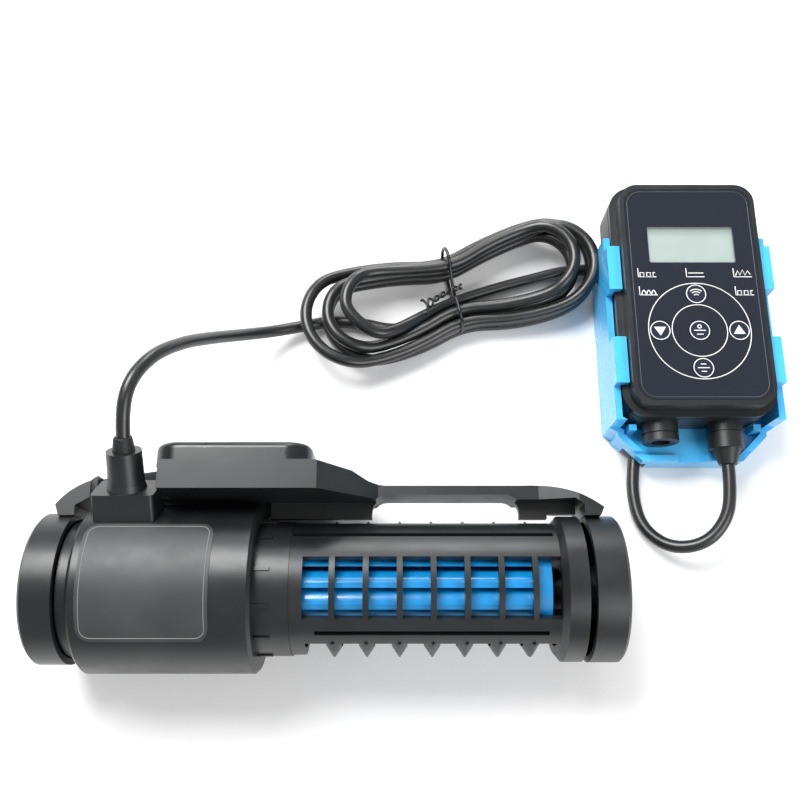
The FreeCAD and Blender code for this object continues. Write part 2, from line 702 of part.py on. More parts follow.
def front_shell():
    flange = plate(CASE_W, CASE_H, CASE_R, FLANGE_Z, BEZEL_Z)
    bezel = plate(CASE_W - 2 * BEZEL_INSET, CASE_H - 2 * BEZEL_INSET, CASE_R - BEZEL_INSET,
                  BEZEL_Z - 0.5, FACE_Z)
    inner_w, inner_h = front_inner()
    hollow = plate(inner_w, inner_h, PANEL_R - 0.5, FLANGE_Z - PAST, PANEL_Z - 1.8)
    opening = plate(PANEL_W - 2 * PANEL_LEDGE, PANEL_H - 2 * PANEL_LEDGE, PANEL_R - PANEL_LEDGE,
                    FLANGE_Z, FACE_Z)
    recess = plate(PANEL_W + 2 * FITTED, PANEL_H + 2 * FITTED, PANEL_R + FITTED,
                   PANEL_Z, FACE_Z + PAST)
    bosses = [post(SCREW_HEAD_R, x, y, FLANGE_Z, PANEL_Z - 1.0) for x, y in screw_places()]
    threads = [post(SCREW_R, x, y, FLANGE_Z - PAST, PANEL_Z - 2.0) for x, y in screw_places()]
    body = fused([flange, bezel]).cut([hollow, opening, recess])
    return fused([body] + bosses).cut(threads)


def gasket():
    outer = plate(CASE_W - 1.2, CASE_H - 1.2, CASE_R - 0.6, SPLIT_Z, FLANGE_Z)
    inner = plate(CASE_W - 3.8, CASE_H - 3.8, CASE_R - 1.9, SPLIT_Z - PAST, FLANGE_Z + PAST)
    holes = [post(BOSS_OUT_R, x, y, SPLIT_Z - PAST, FLANGE_Z + PAST) for x, y in screw_places()]
    return outer.cut([inner] + holes)


def key_places():
    r = KEY_RING_R
    return {"key_top": (0, KEY_RING_Y + r), "key_left": (-r, KEY_RING_Y),
            "key_right": (r, KEY_RING_Y), "key_bottom": (0, KEY_RING_Y - r),
            "key_middle": (0, KEY_RING_Y)}


def face_panel():
    sheet = plate(PANEL_W, PANEL_H, PANEL_R, PANEL_Z, FACE_Z)
    window = plate(LCD_W, LCD_H, 0.6, PANEL_Z - PAST, FACE_Z + PAST, (0, LCD_Y))
    holes = [post(KEY_R + 0.2, x, y, PANEL_Z - PAST, FACE_Z + PAST)
             for x, y in key_places().values()]
    return sheet.cut([window] + holes)


def lcd_window():
    return plate(LCD_W - 2 * FITTED, LCD_H - 2 * FITTED, 0.5, PANEL_Z, FACE_Z - 0.1, (0, LCD_Y))


def lcd_module():
    return plate(LCD_W + 2 * LCD_FRAME, LCD_H + 2 * LCD_FRAME, 0.8, PANEL_Z - 2.6, PANEL_Z - 0.05,
                 (0, LCD_Y))


def board_levels():
    top = key_bottom() - KEY_TRAVEL - 0.1 - SWITCH[2] - 0.5
    return top - BOARD_THICK, top


def circuit_board():
    width, height = front_inner()
    low, top = board_levels()
    sheet = plate(width - 2 * FREE, height - 2 * FREE, PANEL_R - 1.0, low, top)
    room = [post(SCREW_HEAD_R + FREE, x, y, low - PAST, top + PAST) for x, y in screw_places()]
    return sheet.cut(room)


def tact_switches():
    low = board_levels()[1]
    width, height, thick = SWITCH
    switches = []
    for x, y in key_places().values():
        body = block(x - width / 2, x + width / 2, y - height / 2, y + height / 2, low, low + thick)
        switches.append(body.fuse(post(1.6, x, y, low + thick, low + thick + 0.5)))
    return Part.makeCompound(switches)


def key_bottom():
    return PANEL_Z - 0.05 - KEY_FLANGE_THICK - 0.9


def key(x, y):
    low = key_bottom()
    skirt = PANEL_Z - 0.05 - KEY_FLANGE_THICK
    stem = post(1.5, x, y, low, skirt)
    flange = post(KEY_R + KEY_FLANGE, x, y, skirt, PANEL_Z - 0.05)
    cap = post(KEY_R, x, y, PANEL_Z - 0.05, FACE_Z)
    return fused([stem, flange, cap])


def dc_inlet():
    tip = CASE_FOOT - INLET_LENGTH
    collar = barrel(INLET_R, INLET_X, tip, CASE_FOOT, PORT_LEVEL)
    neck = barrel(PORT_NECK_R, INLET_X, CASE_FOOT, CASE_FOOT + PORT_DEPTH, PORT_LEVEL)
    bore = barrel(INLET_BORE_R, INLET_X, tip - PAST, CASE_FOOT + PORT_DEPTH - 2, PORT_LEVEL)
    groove = barrel(INLET_R + PAST, INLET_X, tip + 2.2, tip + 2.9, PORT_LEVEL).cut(
        barrel(INLET_R - 0.5, INLET_X, tip, tip + 4, PORT_LEVEL))
    pin = barrel(1.0, INLET_X, tip + 1.0, CASE_FOOT + PORT_DEPTH - 1, PORT_LEVEL)
    return fused([fused([collar, neck]).cut([bore, groove]), pin])


def pump_socket():
    tip = CASE_FOOT - SOCKET_LENGTH
    collar = barrel(SOCKET_R, SOCKET_X, tip, CASE_FOOT, PORT_LEVEL)
    neck = barrel(PORT_NECK_R, SOCKET_X, CASE_FOOT, CASE_FOOT + PORT_DEPTH, PORT_LEVEL)
    bore = barrel(PLUG_NOSE_R + FITTED, SOCKET_X, tip - PAST, CASE_FOOT + PORT_DEPTH - 2,
                  PORT_LEVEL)
    pins = [barrel(0.5, SOCKET_X + dx, CASE_FOOT, CASE_FOOT + PORT_DEPTH - 1, PORT_LEVEL)
            for dx in (-1.4, 1.4)]
    return fused([fused([collar, neck]).cut(bore)] + pins)


def plug_end():
    return CASE_FOOT - SOCKET_LENGTH - 0.2 - PLUG_GRIP - BOOT_LENGTH


def cord_plug():
    grip_top = CASE_FOOT - SOCKET_LENGTH - 0.2
    grip = barrel(SOCKET_R, SOCKET_X, grip_top - PLUG_GRIP, grip_top, PORT_LEVEL)
    nose = barrel(PLUG_NOSE_R, SOCKET_X, grip_top, CASE_FOOT + PORT_DEPTH - 3, PORT_LEVEL)
    hollow = barrel(PLUG_NOSE_R - 0.8, SOCKET_X, grip_top + 1, CASE_FOOT + PORT_DEPTH, PORT_LEVEL)
    boot = Part.makeCone(CORD_R + 0.8, SOCKET_R - 1.2, BOOT_LENGTH,
                         V(SOCKET_X, plug_end(), PORT_LEVEL), V(0, 1, 0))
    return fused([grip, nose.cut(hollow), boot])


def case_screws():
    screws = []
    for x, y in screw_places():
        head = post(SCREW_HEAD_R, x, y, BACK_Z + 0.3, BACK_Z + 1.8)
        screws.append(head.fuse(post(SCREW_R, x, y, BACK_Z + 1.8, PANEL_Z - 2.4)))
    return Part.makeCompound(screws)


# ---------------------------------------------------------------- wall holder
def holder_outline(inset, z0, z1):
    """The holder seen from above: straight rails, then a narrower tray with cut corners."""
    rail = RAIL_OUT - inset
    tray = RAIL_OUT - TRAY_STEP - inset
    step_y = CASE_FOOT - 0.5 + inset * 0.4
    foot = -HOLDER_FOOT + inset
    corner = tray - TRAY_CORNER + inset * 0.6
    right = [V(rail, HOLDER_TOP - inset, z0), V(rail, step_y, z0), V(tray, step_y - 1.6, z0),
             V(tray, foot + TRAY_CORNER - inset * 0.6, z0), V(corner, foot, z0)]
    left = [V(-p.x, p.y, p.z) for p in reversed(right)]
    return Part.Face(Part.makePolygon(right + left + right[:1])).extrude(V(0, 0, z1 - z0))


def wall_holder():
    rail_top = CLIP_Z + CLIP_THICK
    walls = holder_outline(0, 0, rail_top).cut(holder_outline(HOLDER_WALL, -PAST, rail_top + PAST))
    far = 200.0
    step_y = CASE_FOOT - 0.5
    cuts = [block(-far, far, -far, step_y, TRAY_RIM_Z, far),
            block(-far, far, HOLDER_TOP - HOLDER_WALL - 0.01, far, PLATE_Z, far),
            block(-far, far, -far, 1 - HOLDER_FOOT + HOLDER_WALL, LIP_Z, far),
            block(-5, 5, -far, 1 - HOLDER_FOOT + HOLDER_WALL, PLATE_Z + PLATE_THICK, far)]
    low_clip, high_clip = CLIPS[1], CLIPS[0]
    cuts.append(block(-far, far, low_clip[1], high_clip[0], CLIP_Z - 4.0, far))
    cuts.append(block(-far, far, step_y, low_clip[0], CLIP_Z - 1.5, far))
    cuts.append(block(-far, far, high_clip[1], far, CLIP_Z - 1.5, far))
    base = holder_outline(HOLDER_WALL / 2, PLATE_Z, PLATE_Z + PLATE_THICK)
    clips = []
    for low, high in CLIPS:
        for side in (-1, 1):
            edge = sorted((side * (RAIL_OUT - CLIP_REACH), side * (RAIL_OUT - 0.5)))
            clips.append(block(edge[0], edge[1], low, high, CLIP_Z, rail_top))
    stops = [block(side * STOP_X - 1.3, side * STOP_X + 1.3, CASE_FOOT - 2.4, CASE_FOOT - FREE,
                   PLATE_Z + 1, BACK_Z + 7.0) for side in (-1, 1)]
    body = fused([walls.cut(cuts), base] + clips + stops)
    holes = [post(HOLDER_HOLE_R, 0, y, 0, BACK_Z) for y in HOLDER_HOLES]
    half = NOTCH_W / 2
    notches = [block(-RAIL_OUT - PAST, -RAIL_IN + PAST, ENTRY_Y - half, ENTRY_Y + half,
                     -PAST, PLATE_Z),
               block(EXIT_X - half, EXIT_X + half, -far, NOTCH_DEPTH - HOLDER_FOOT,
                     -PAST, PLATE_Z)]
    return body.cut(holes + notches)


# ---------------------------------------------------------------- cord
# The cord's stretches in the row's frame. Each starts and ends where its last piece does.
GLAND_DIRECTION = V(0, math.cos(math.radians(GLAND_ANGLE)), math.sin(math.radians(GLAND_ANGLE)))
LEAD_START = PUMP_AT + V(GLAND_U, 0, 0) + GLAND_DIRECTION * (BOSS_TOP - BOSS_RECESS)
LEAD = [LEAD_START, LEAD_START + GLAND_DIRECTION * 12.5, V(-29.5, 25.8, 59.2),
        V(-24.5, 36.5, 54.5), V(-18.0, 45.0, 43.5), V(-11.0, 52.0, 29.5), V(-3.5, 58.0, 16.5),
        V(6.0, 63.0, 7.0), V(17.5, 66.8, 3.2), V(28.0, 69.0, 2.6)]
TAIL_END = V(CASE_X + SOCKET_X, CASE_Y + plug_end(), PORT_LEVEL)
TAIL = [V(114.0, 89.2, 2.4), V(127.5, 90.4, 2.4), V(138.0, 85.8, 2.4), V(144.5, 76.0, 2.4),
        V(146.3, 61.0, 2.4), V(143.8, 44.5, 2.4), V(139.4, 29.5, 2.4), V(135.8, 15.5, 2.4),
        V(134.4, 2.4, 2.5), V(136.6, -9.2, 3.9), V(144.9, -16.5, 7.2), V(155.8, -15.6, 11.4),
        V(162.8, -7.6, 14.6), TAIL_END - V(0, 8.2, 0), TAIL_END]

# The hank: a flat oval of six turns, nipped in at its middle by the tie.
HANK_MIDDLE = V(72.0, 79.1, 0)
HANK_ANGLE = 17.0
HANK_LENGTH = 108.0
HANK_WIDTH = 40.0
HANK_WAIST = 34.0
HANK_NIP = 24.0         # the sides draw in over this distance each way
HANK_HEIGHT = 13.0
TIE_WIDTH = 1.8
TIE_THICK = 1.2


def route(points):
    """Straight runs joined by tangent arcs, each as large as its two runs allow."""
    edges = []
    start = points[0]
    radii = []
    for before, corner, after in zip(points, points[1:], points[2:]):
        back = (before - corner)
        ahead = (after - corner)
        half_turn = (math.pi - back.getAngle(ahead)) / 2
        reach = 0.45 * min(back.Length, ahead.Length)
        radius = reach / math.tan(half_turn)
        radii.append(radius)
        back.normalize()
        ahead.normalize()
        a, b = corner + back * reach, corner + ahead * reach
        bisector = (back + ahead)
        bisector.normalize()
        middle = corner + bisector * (radius / math.cos(half_turn) - radius)
        edges.append(Part.LineSegment(start, a).toShape())
        edges.append(Part.Arc(a, middle, b).toShape())
        start = b
    edges.append(Part.LineSegment(start, points[-1]).toShape())
    return Part.Wire(edges), radii


def cord_tube(name, points):
    path, radii = route(points)
    first = points[1] - points[0]
    circle = Part.Wire([Part.makeCircle(CORD_R, points[0], first)])
    tube = path.makePipeShell([circle], True, False)
    section = math.pi * CORD_R ** 2
    print(name, "length", round(path.Length, 1), "radii in diameters",
          [round(radius / (2 * CORD_R), 1) for radius in radii],
          "volume over section times length", round(tube.Volume / (section * path.Length), 4))
    save(name, tube, ORIGIN)


def place_hank(shape):
    shape.rotate(ORIGIN, Z_AXIS, HANK_ANGLE)
    shape.translate(HANK_MIDDLE)
    return shape


def cord_hank():
    half = HANK_WIDTH / 2
    body = plate(HANK_LENGTH, HANK_WIDTH, half - 0.5, 0, HANK_HEIGHT)
    nips = []
    for side in (-1, 1):
        tip = V(0, side * HANK_WAIST / 2, -PAST)
        wide = [V(HANK_NIP, side * (half + 0.1), -PAST), V(HANK_NIP, side * (half + 2), -PAST),
                V(-HANK_NIP, side * (half + 2), -PAST), V(-HANK_NIP, side * (half + 0.1), -PAST)]
        face = Part.Face(Part.makePolygon([tip] + wide + [tip]))
        nips.append(face.extrude(V(0, 0, HANK_HEIGHT + 2 * PAST)))
    waist = block(-TIE_WIDTH, TIE_WIDTH, -HANK_WIDTH, HANK_WIDTH, -PAST, HANK_HEIGHT + PAST)
    return place_hank(body.cut(nips).cut(waist.cut(tie_bar(0))))


def tie_bar(thick):
    """The bundle's section at the tie, grown by a thickness."""
    half = HANK_WAIST / 2 - TIE_THICK + thick
    return block(-HANK_WIDTH, HANK_WIDTH, -half, half, TIE_THICK - thick,
                 HANK_HEIGHT - TIE_THICK + thick)


def twist_tie():
    band = block(-TIE_WIDTH / 2, TIE_WIDTH / 2, -HANK_WIDTH, HANK_WIDTH, -PAST,
                 HANK_HEIGHT + PAST)
    return place_hank(band.common(tie_bar(TIE_THICK - 0.05)).cut(tie_bar(0)))


# ---------------------------------------------------------------- build
os.makedirs("parts", exist_ok=True)

pump("motor_housing", motor_housing())
pump("motor_end_cap", motor_end_cap())
pump("end_cap_seal", end_cap_seal())
pump("can_seal", can_seal())
pump("drive_board", drive_board())
pump("stator_core", stator_core())
pump("stator_coils", stator_coils())
pump("rotor_can", rotor_can())
pump("motor_bearings", motor_bearings())
pump("rotor_magnet", rotor_magnet())
pump("shaft", shaft())
pump("impeller", impeller())
pump("thrust_washers", thrust_washers())
pump("strainer_cage", strainer_cage())
pump("end_plate", end_plate())
pump("end_bearing", end_bearing())
pump("cord_gland", cord_gland())
pump("label", label())
pump("bracket", bracket())
pump("pivot_pins", pivot_pins())
pump("wet_magnets", magnets(SEAT_OUT - MAGNET[1], MAGNET[1]))
pump("wet_pad", wet_pad())
pump("dry_pad", pad(dry_low() - PAD_THICK))
pump("dry_magnet_case", dry_magnet_case())
pump("dry_magnets", magnets(dry_low(), CASE_THICK - CASE_WALL))

controller("back_shell", back_shell())
controller("front_shell", front_shell())
controller("gasket", gasket())
controller("face_panel", face_panel())
controller("lcd_window", lcd_window())
controller("lcd_module", lcd_module())
controller("circuit_board", circuit_board())
controller("tact_switches", tact_switches())
for key_name, (key_x, key_y) in key_places().items():
    controller(key_name, key(key_x, key_y))
controller("dc_inlet", dc_inlet())
controller("pump_socket", pump_socket())
controller("case_screws", case_screws())
controller("wall_holder", wall_holder())
controller("cord_plug", cord_plug())

cord_tube("cord_lead", LEAD)
cord_tube("cord_tail", TAIL)
save("cord_hank", cord_hank(), ORIGIN)
save("twist_tie", twist_tie(), ORIGIN)
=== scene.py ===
import json
import math

import bpy
from bpy.props import FloatProperty, FloatVectorProperty, IntProperty, PointerProperty
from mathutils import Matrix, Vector


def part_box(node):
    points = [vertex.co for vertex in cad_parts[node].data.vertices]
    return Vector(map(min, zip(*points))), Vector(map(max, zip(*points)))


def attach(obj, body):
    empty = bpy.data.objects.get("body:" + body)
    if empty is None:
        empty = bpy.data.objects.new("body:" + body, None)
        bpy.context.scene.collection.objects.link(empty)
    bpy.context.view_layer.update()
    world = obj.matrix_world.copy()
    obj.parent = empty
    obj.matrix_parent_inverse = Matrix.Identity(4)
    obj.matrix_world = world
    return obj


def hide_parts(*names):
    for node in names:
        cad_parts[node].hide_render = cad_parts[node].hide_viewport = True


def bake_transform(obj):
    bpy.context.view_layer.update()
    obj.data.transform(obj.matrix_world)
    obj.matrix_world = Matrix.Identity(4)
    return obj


bl_info = {
    "name": "Wave maker pump",
    "version": (1, 0, 0),
    "blender": (4, 5, 0),
    "location": "View3D > Sidebar > Pump",
    "description": "Looks for a cross-flow wave pump, its cord and its keypad controller",
    "category": "Object",
}

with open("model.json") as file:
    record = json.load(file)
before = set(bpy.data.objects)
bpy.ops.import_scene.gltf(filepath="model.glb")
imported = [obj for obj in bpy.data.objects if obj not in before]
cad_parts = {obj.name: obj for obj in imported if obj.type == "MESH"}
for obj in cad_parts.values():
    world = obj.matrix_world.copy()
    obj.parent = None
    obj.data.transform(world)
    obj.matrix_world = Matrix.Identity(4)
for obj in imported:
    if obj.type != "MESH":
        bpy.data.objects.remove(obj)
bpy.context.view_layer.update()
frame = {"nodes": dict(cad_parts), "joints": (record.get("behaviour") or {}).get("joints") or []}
NODES = frame["nodes"]
MM = 0.001
KEYS = ("key_top", "key_left", "key_right", "key_bottom", "key_middle")


def mm(x, y, z):
    """A place given in millimetres, in metres."""
    return Vector((x * MM, y * MM, z * MM))


def middle(node):
    """The middle of a CAD node's box."""
    low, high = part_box(node)
    return (Vector(low) + Vector(high)) / 2


# ------------------------------------------------------------------ settings
class PUMP_PG_cord(bpy.types.PropertyGroup):
    diameter: FloatProperty(name="Diameter", description="Outside of the cord's jacket",
                            default=4.4 * MM, unit="LENGTH")
    turns: FloatProperty(name="Turns", description="Turns in the tied hank", default=3.8)
    points_per_turn: IntProperty(name="Points per turn", description="Control points in one turn",
                                 default=20)
    pitch: FloatProperty(name="Pitch", description="Middle to middle of two strands side by side",
                         default=4.8 * MM, unit="LENGTH")
    layer: FloatProperty(name="Layer", description="Middle to middle of two strands one on another",
                         default=4.9 * MM, unit="LENGTH")
    half_width: FloatProperty(name="Half width", description="Outermost strand from the hank's middle",
                              default=19.0 * MM, unit="LENGTH")
    pinch: FloatProperty(name="Pinch", description="How far the tie draws each side in",
                         default=6.5 * MM, unit="LENGTH")
    tie_wire: FloatProperty(name="Tie wire", description="Thickness of the twist tie's coated wire",
                            default=1.2 * MM, unit="LENGTH")


class PUMP_PG_print(bpy.types.PropertyGroup):
    line: FloatProperty(name="Line", description="Width of the printed lines on the face",
                        default=0.34 * MM, unit="LENGTH")
    outer_ring: FloatProperty(name="Outer ring", description="Radius of the ring round the keys",
                              default=17.4 * MM, unit="LENGTH")
    inner_ring: FloatProperty(name="Inner ring", description="Radius of the ring inside the keys",
                              default=9.4 * MM, unit="LENGTH")
    key_ring: FloatProperty(name="Key ring", description="Radius of the ring printed on a key",
                            default=3.3 * MM, unit="LENGTH")


class PUMP_PG_colours(bpy.types.PropertyGroup):
    plastic: FloatVectorProperty(name="Black plastic", description="Housing and bracket mouldings",
                                 default=(0.0075, 0.0090, 0.0098), size=3, subtype="COLOR")
    blue: FloatVectorProperty(name="Holder blue", description="Wall holder moulding",
                              default=(0.055, 0.44, 0.86), size=3, subtype="COLOR")
    impeller: FloatVectorProperty(name="Impeller blue", description="Impeller moulding",
                                  default=(0.004, 0.19, 0.46), size=3, subtype="COLOR")
    panel: FloatVectorProperty(name="Face panel", description="Gloss face of the controller",
                               default=(0.0035, 0.0065, 0.015), size=3, subtype="COLOR")
    display: FloatVectorProperty(name="Display", description="Blank liquid-crystal display",
                                 default=(0.29, 0.37, 0.34), size=3, subtype="COLOR")
    jacket: FloatVectorProperty(name="Cord jacket", description="Cord's outer jacket",
                                default=(0.0065, 0.0072, 0.0076), size=3, subtype="COLOR")


# ------------------------------------------------------------------ shader tools
class Flow:
    """A shader socket that ordinary arithmetic works on."""

    def __init__(self, paint, socket):
        self.paint = paint
        self.socket = socket

    def maths(self, operation, *values):
        return self.paint.node("ShaderNodeMath", {"operation": operation}, dict(enumerate(values)))

    def __add__(self, other):
        return self.maths("ADD", self, other)

    def __sub__(self, other):
        return self.maths("SUBTRACT", self, other)

    def __rsub__(self, other):
        return self.maths("SUBTRACT", other, self)

    def __mul__(self, other):
        return self.maths("MULTIPLY", self, other)

    def __truediv__(self, other):
        return self.maths("DIVIDE", self, other)

    __radd__ = __add__
    __rmul__ = __mul__


class Paint:
    """One material with its principled shader."""

    def __init__(self, name, **uniform):
        self.material = bpy.data.materials.new(name)
        self.material.use_nodes = True
        self.tree = self.material.node_tree
        self.tree.nodes.clear()
        self.shader = self.tree.nodes.new("ShaderNodeBsdfPrincipled")
        output = self.tree.nodes.new("ShaderNodeOutputMaterial")
        self.tree.links.new(self.shader.outputs[0], output.inputs[0])
        for socket, value in uniform.items():
            self.shader.inputs[socket.replace("_", " ")].default_value = value

    def node(self, kind, settings=None, inputs=None, output=0):
        made = self.tree.nodes.new(kind)
        for key, value in (settings or {}).items():
            if key == "stops":
                self.stops(made.color_ramp, value)
            else:
                setattr(made, key, value)
        for key, value in (inputs or {}).items():
            if isinstance(value, Flow):
                self.tree.links.new(value.socket, made.inputs[key])
            else:
                made.inputs[key].default_value = value
        return Flow(self, made.outputs[output])

    def stops(self, ramp, values):
        while len(ramp.elements) < len(values):
            ramp.elements.new(0.5)
        for element, (place, level) in zip(ramp.elements, values):
            element.position = place
            element.color = (level, level, level, 1)

    def place(self):
        return self.node("ShaderNodeTexCoord", output="Object")

    def axis(self, letter):
        return self.node("ShaderNodeSeparateXYZ", None, {0: self.place()}, output=letter)

    def noise(self, grain, detail=3.0, rough=0.55):
        """Noise whose lumps are about grain across, from 0 to 1."""
        return self.node("ShaderNodeTexNoise", None,
                         {"Vector": self.place(), "Scale": 1 / grain, "Detail": detail,
                          "Roughness": rough})

    def ramp(self, value, low, high):
        return self.node("ShaderNodeValToRGB", {"stops": [(low, 0.0), (high, 1.0)]}, {0: value})

    def blend(self, factor, first, second):
        def full(colour):
            return colour if isinstance(colour, Flow) else (*colour, 1.0)

        return self.node("ShaderNodeMix", {"data_type": "RGBA"},
                         {0: factor, 6: full(first), 7: full(second)}, output=2)

    def bump(self, height, distance, strength=1.0):
        return self.node("ShaderNodeBump", None,
                         {"Height": height, "Distance": distance, "Strength": strength})

    def wear(self, colour=None, roughness=None, normal=None):
        """Join what changes over the surface to the shader."""
        for socket, flow in (("Base Color", colour), ("Roughness", roughness), ("Normal", normal)):
            if flow is not None:
                self.tree.links.new(flow.socket, self.shader.inputs[socket])
        return self.material


def scaled(colour, factor):
    """A colour made lighter or darker."""
    return tuple(min(1.0, part * factor) for part in colour)


DUST = (0.35, 0.37, 0.38)
DUST_SHARE = 0.035


def moulded(name, colour, rough=0.42, grain=0.35, depth=0.012, sheen=1.6, **uniform):
    """Moulded plastic: spark-eroded grain, flow marks and a little dust."""
    paint = Paint(name, **uniform)
    flow_marks = paint.ramp(paint.noise(18 * MM, 2.0), 0.35, 0.7)
    dust = paint.ramp(paint.noise(1.1 * MM, 4.0, 0.7), 0.66, 0.74)
    tone = paint.blend(flow_marks, scaled(colour, 0.86), scaled(colour, sheen))
    tone = paint.blend(dust * DUST_SHARE, tone, DUST)
    fine = paint.noise(grain * MM, 2.0)
    rub = paint.noise(5 * MM, 3.0)
    return paint.wear(tone, rub * 0.16 + fine * 0.06 + (rough - 0.11),
                      paint.bump(fine, depth * MM, 0.8))


def glossy(name, colour, rough=0.12, sheen=1.35, **uniform):
    """Polished plastic: faint ripples, fine rub marks."""
    paint = Paint(name, **uniform)
    cloud = paint.noise(9 * MM, 2.0)
    tone = paint.blend(cloud, scaled(colour, 0.84), scaled(colour, sheen))
    rub = paint.ramp(paint.noise(2.4 * MM, 5.0, 0.65), 0.45, 0.8)
    return paint.wear(tone, rub * 0.14 + rough, paint.bump(paint.noise(6 * MM, 1.0), 0.02 * MM, 0.5))


def rubbery(name, colour, rough=0.55):
    """Soft black rubber with a dry bloom."""
    paint = Paint(name, Specular_IOR_Level=0.35)
    bloom = paint.ramp(paint.noise(6 * MM, 4.0), 0.4, 0.75)
    tone = paint.blend(bloom, colour, scaled(colour, 2.2))
    skin = paint.noise(0.5 * MM, 3.0)
    return paint.wear(tone, bloom * 0.14 + rough, paint.bump(skin, 0.02 * MM, 0.7))


def jacketed(name, colour):
    """Cord jacket: satin, with a faintly lumpy skin, and scuffed."""
    paint = Paint(name, Coat_Weight=0.25, Coat_Roughness=0.3)
    scuff = paint.ramp(paint.noise(2.8 * MM, 5.0, 0.7), 0.5, 0.78)
    tone = paint.blend(scuff, colour, scaled(colour, 2.1))
    skin = paint.noise(0.4 * MM, 2.0) * 0.4 + paint.noise(7 * MM, 1.0)
    return paint.wear(tone, scuff * 0.15 + 0.33, paint.bump(skin, 0.08 * MM, 0.5))


def metal(name, colour, rough=0.3, stripe=None, grain=0.5):
    """Metal, with fine lines across one axis where it is stacked or ground."""
    paint = Paint(name, Metallic=1.0)
    tint = paint.noise(3 * MM, 4.0)
    tone = paint.blend(tint, scaled(colour, 0.7), scaled(colour, 1.2))
    height = paint.noise(grain * MM, 3.0)
    if stripe:
        lines = paint.axis(stripe) * (2 * math.pi / (grain * MM))
        height = lines.maths("SINE", lines) * 0.5 + 0.5
        tone = paint.blend(height * 0.5, tone, scaled(colour, 0.45))
    return paint.wear(tone, tint * 0.2 + (rough - 0.08), paint.bump(height, 0.05 * MM, 0.6))


def board(name):
    """Green solder mask with a faint pattern of tracks."""
    paint = Paint(name, Coat_Weight=0.3)
    grid = paint.node("ShaderNodeTexVoronoi", {"distance": "MANHATTAN"},
                      {"Vector": paint.place(), "Scale": 1 / (4 * MM), "Randomness": 0.8})
    tracks = paint.ramp(grid, 0.28, 0.34)
    tone = paint.blend(tracks, (0.012, 0.13, 0.045), (0.02, 0.24, 0.08))
    return paint.wear(tone, paint.noise(1 * MM) * 0.2 + 0.25, paint.bump(tracks, 0.04 * MM, 0.6))


def display(name, colour):
    """Blank display: grey-green, with painted shade under the window's upper edge."""
    paint = Paint(name)
    low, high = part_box("lcd_window")
    top = high[1]
    # painted shade: a mask over the display's top 3 mm, under the window's upper edge
    shade = (paint.axis("Y") - (top - 3.4 * MM)) / (3.0 * MM)
    shade = shade.maths("MINIMUM", shade.maths("MAXIMUM", shade, 0.0), 1.0)
    glow = paint.noise(12 * MM, 1.0)
    tone = paint.blend(glow, scaled(colour, 0.88), scaled(colour, 1.12))
    # painted shade: blend towards dark grey-green inside that mask
    tone = paint.blend(shade * 0.55, tone, (0.05, 0.07, 0.065))
    dots = paint.noise(0.25 * MM, 1.0)
    return paint.wear(tone, dots * 0.1 + 0.3, paint.bump(dots, 0.004 * MM, 0.5))


def printed(name, level=0.85):
    """White screen-print ink, slightly uneven."""
    paint = Paint(name)
    patch = paint.noise(0.6 * MM, 3.0)
    tone = paint.blend(patch, (level * 0.86,) * 3, (level, level, level * 1.01))
    return paint.wear(tone, patch * 0.15 + 0.4, paint.bump(patch, 0.01 * MM, 0.6))


def clear(name):
    """Clear window film with rub marks."""
    paint = Paint(name, Alpha=0.12, IOR=1.49)
    rub = paint.ramp(paint.noise(1.8 * MM, 5.0), 0.5, 0.8)
    return paint.wear(paint.blend(rub, (0.6, 0.66, 0.64), (0.75, 0.8, 0.78)), rub * 0.1 + 0.05,
                      paint.bump(rub, 0.005 * MM, 0.4))


def paint_node(names, material):
    """Give CAD nodes one material."""
    for name in names:
        data = NODES[name].data
        data.materials.clear()
        data.materials.append(material)


# ------------------------------------------------------------------ modelling tools
def deselect():
    bpy.ops.object.select_all(action="DESELECT")


def only(piece):
    """Select one piece and nothing else."""
    deselect()
    piece.select_set(True)
    bpy.context.view_layer.objects.active = piece


def settle(piece, name, material, body=None):
    """Put a finished piece's place into its mesh and hang it on its body."""
    only(piece)
    bpy.ops.object.transform_apply(location=True, rotation=True, scale=True)
    piece.name = name
    piece.data.name = name
    piece.data.materials.clear()
    piece.data.materials.append(material)
    if body:
        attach(piece, body)
    return piece


def curve_of(name, strokes, thickness, kind="POLY", closed=False, steps=8, sides=3):
    """A curve of one spline per stroke, round in section."""
    data = bpy.data.curves.new(name, "CURVE")
    data.dimensions = "3D"
    data.resolution_u = steps
    data.bevel_depth = thickness / 2
    data.bevel_resolution = sides
    data.use_fill_caps = True
    for stroke in strokes:
        spline = data.splines.new(kind)
        spline.points.add(len(stroke) - 1)
        for point, at in zip(spline.points, stroke):
            point.co = (*at, 1.0)
        spline.use_cyclic_u = closed
        if kind == "NURBS":
            spline.order_u = 3
            spline.use_endpoint_u = not closed
    piece = bpy.data.objects.new(name, data)
    bpy.context.scene.collection.objects.link(piece)
    return piece


def meshed(piece):
    """Turn a curve into the mesh that it draws."""
    only(piece)
    bpy.ops.object.convert(target="MESH")
    return bpy.context.view_layer.objects.active


def joined(pieces):
    """Join pieces into the first of them."""
    deselect()
    for piece in pieces:
        piece.select_set(True)
    bpy.context.view_layer.objects.active = pieces[0]
    if len(pieces) > 1:
        bpy.ops.object.join()
    return bpy.context.view_layer.objects.active


def ring_points(centre, radius, count=72, start=0.0, sweep=360.0):
    """Points round a level circle, or along an arc of it."""
    span = [math.radians(start + sweep * k / count) for k in range(count + (sweep < 360))]
    return [centre + Vector((radius * math.cos(a), radius * math.sin(a), 0)) for a in span]


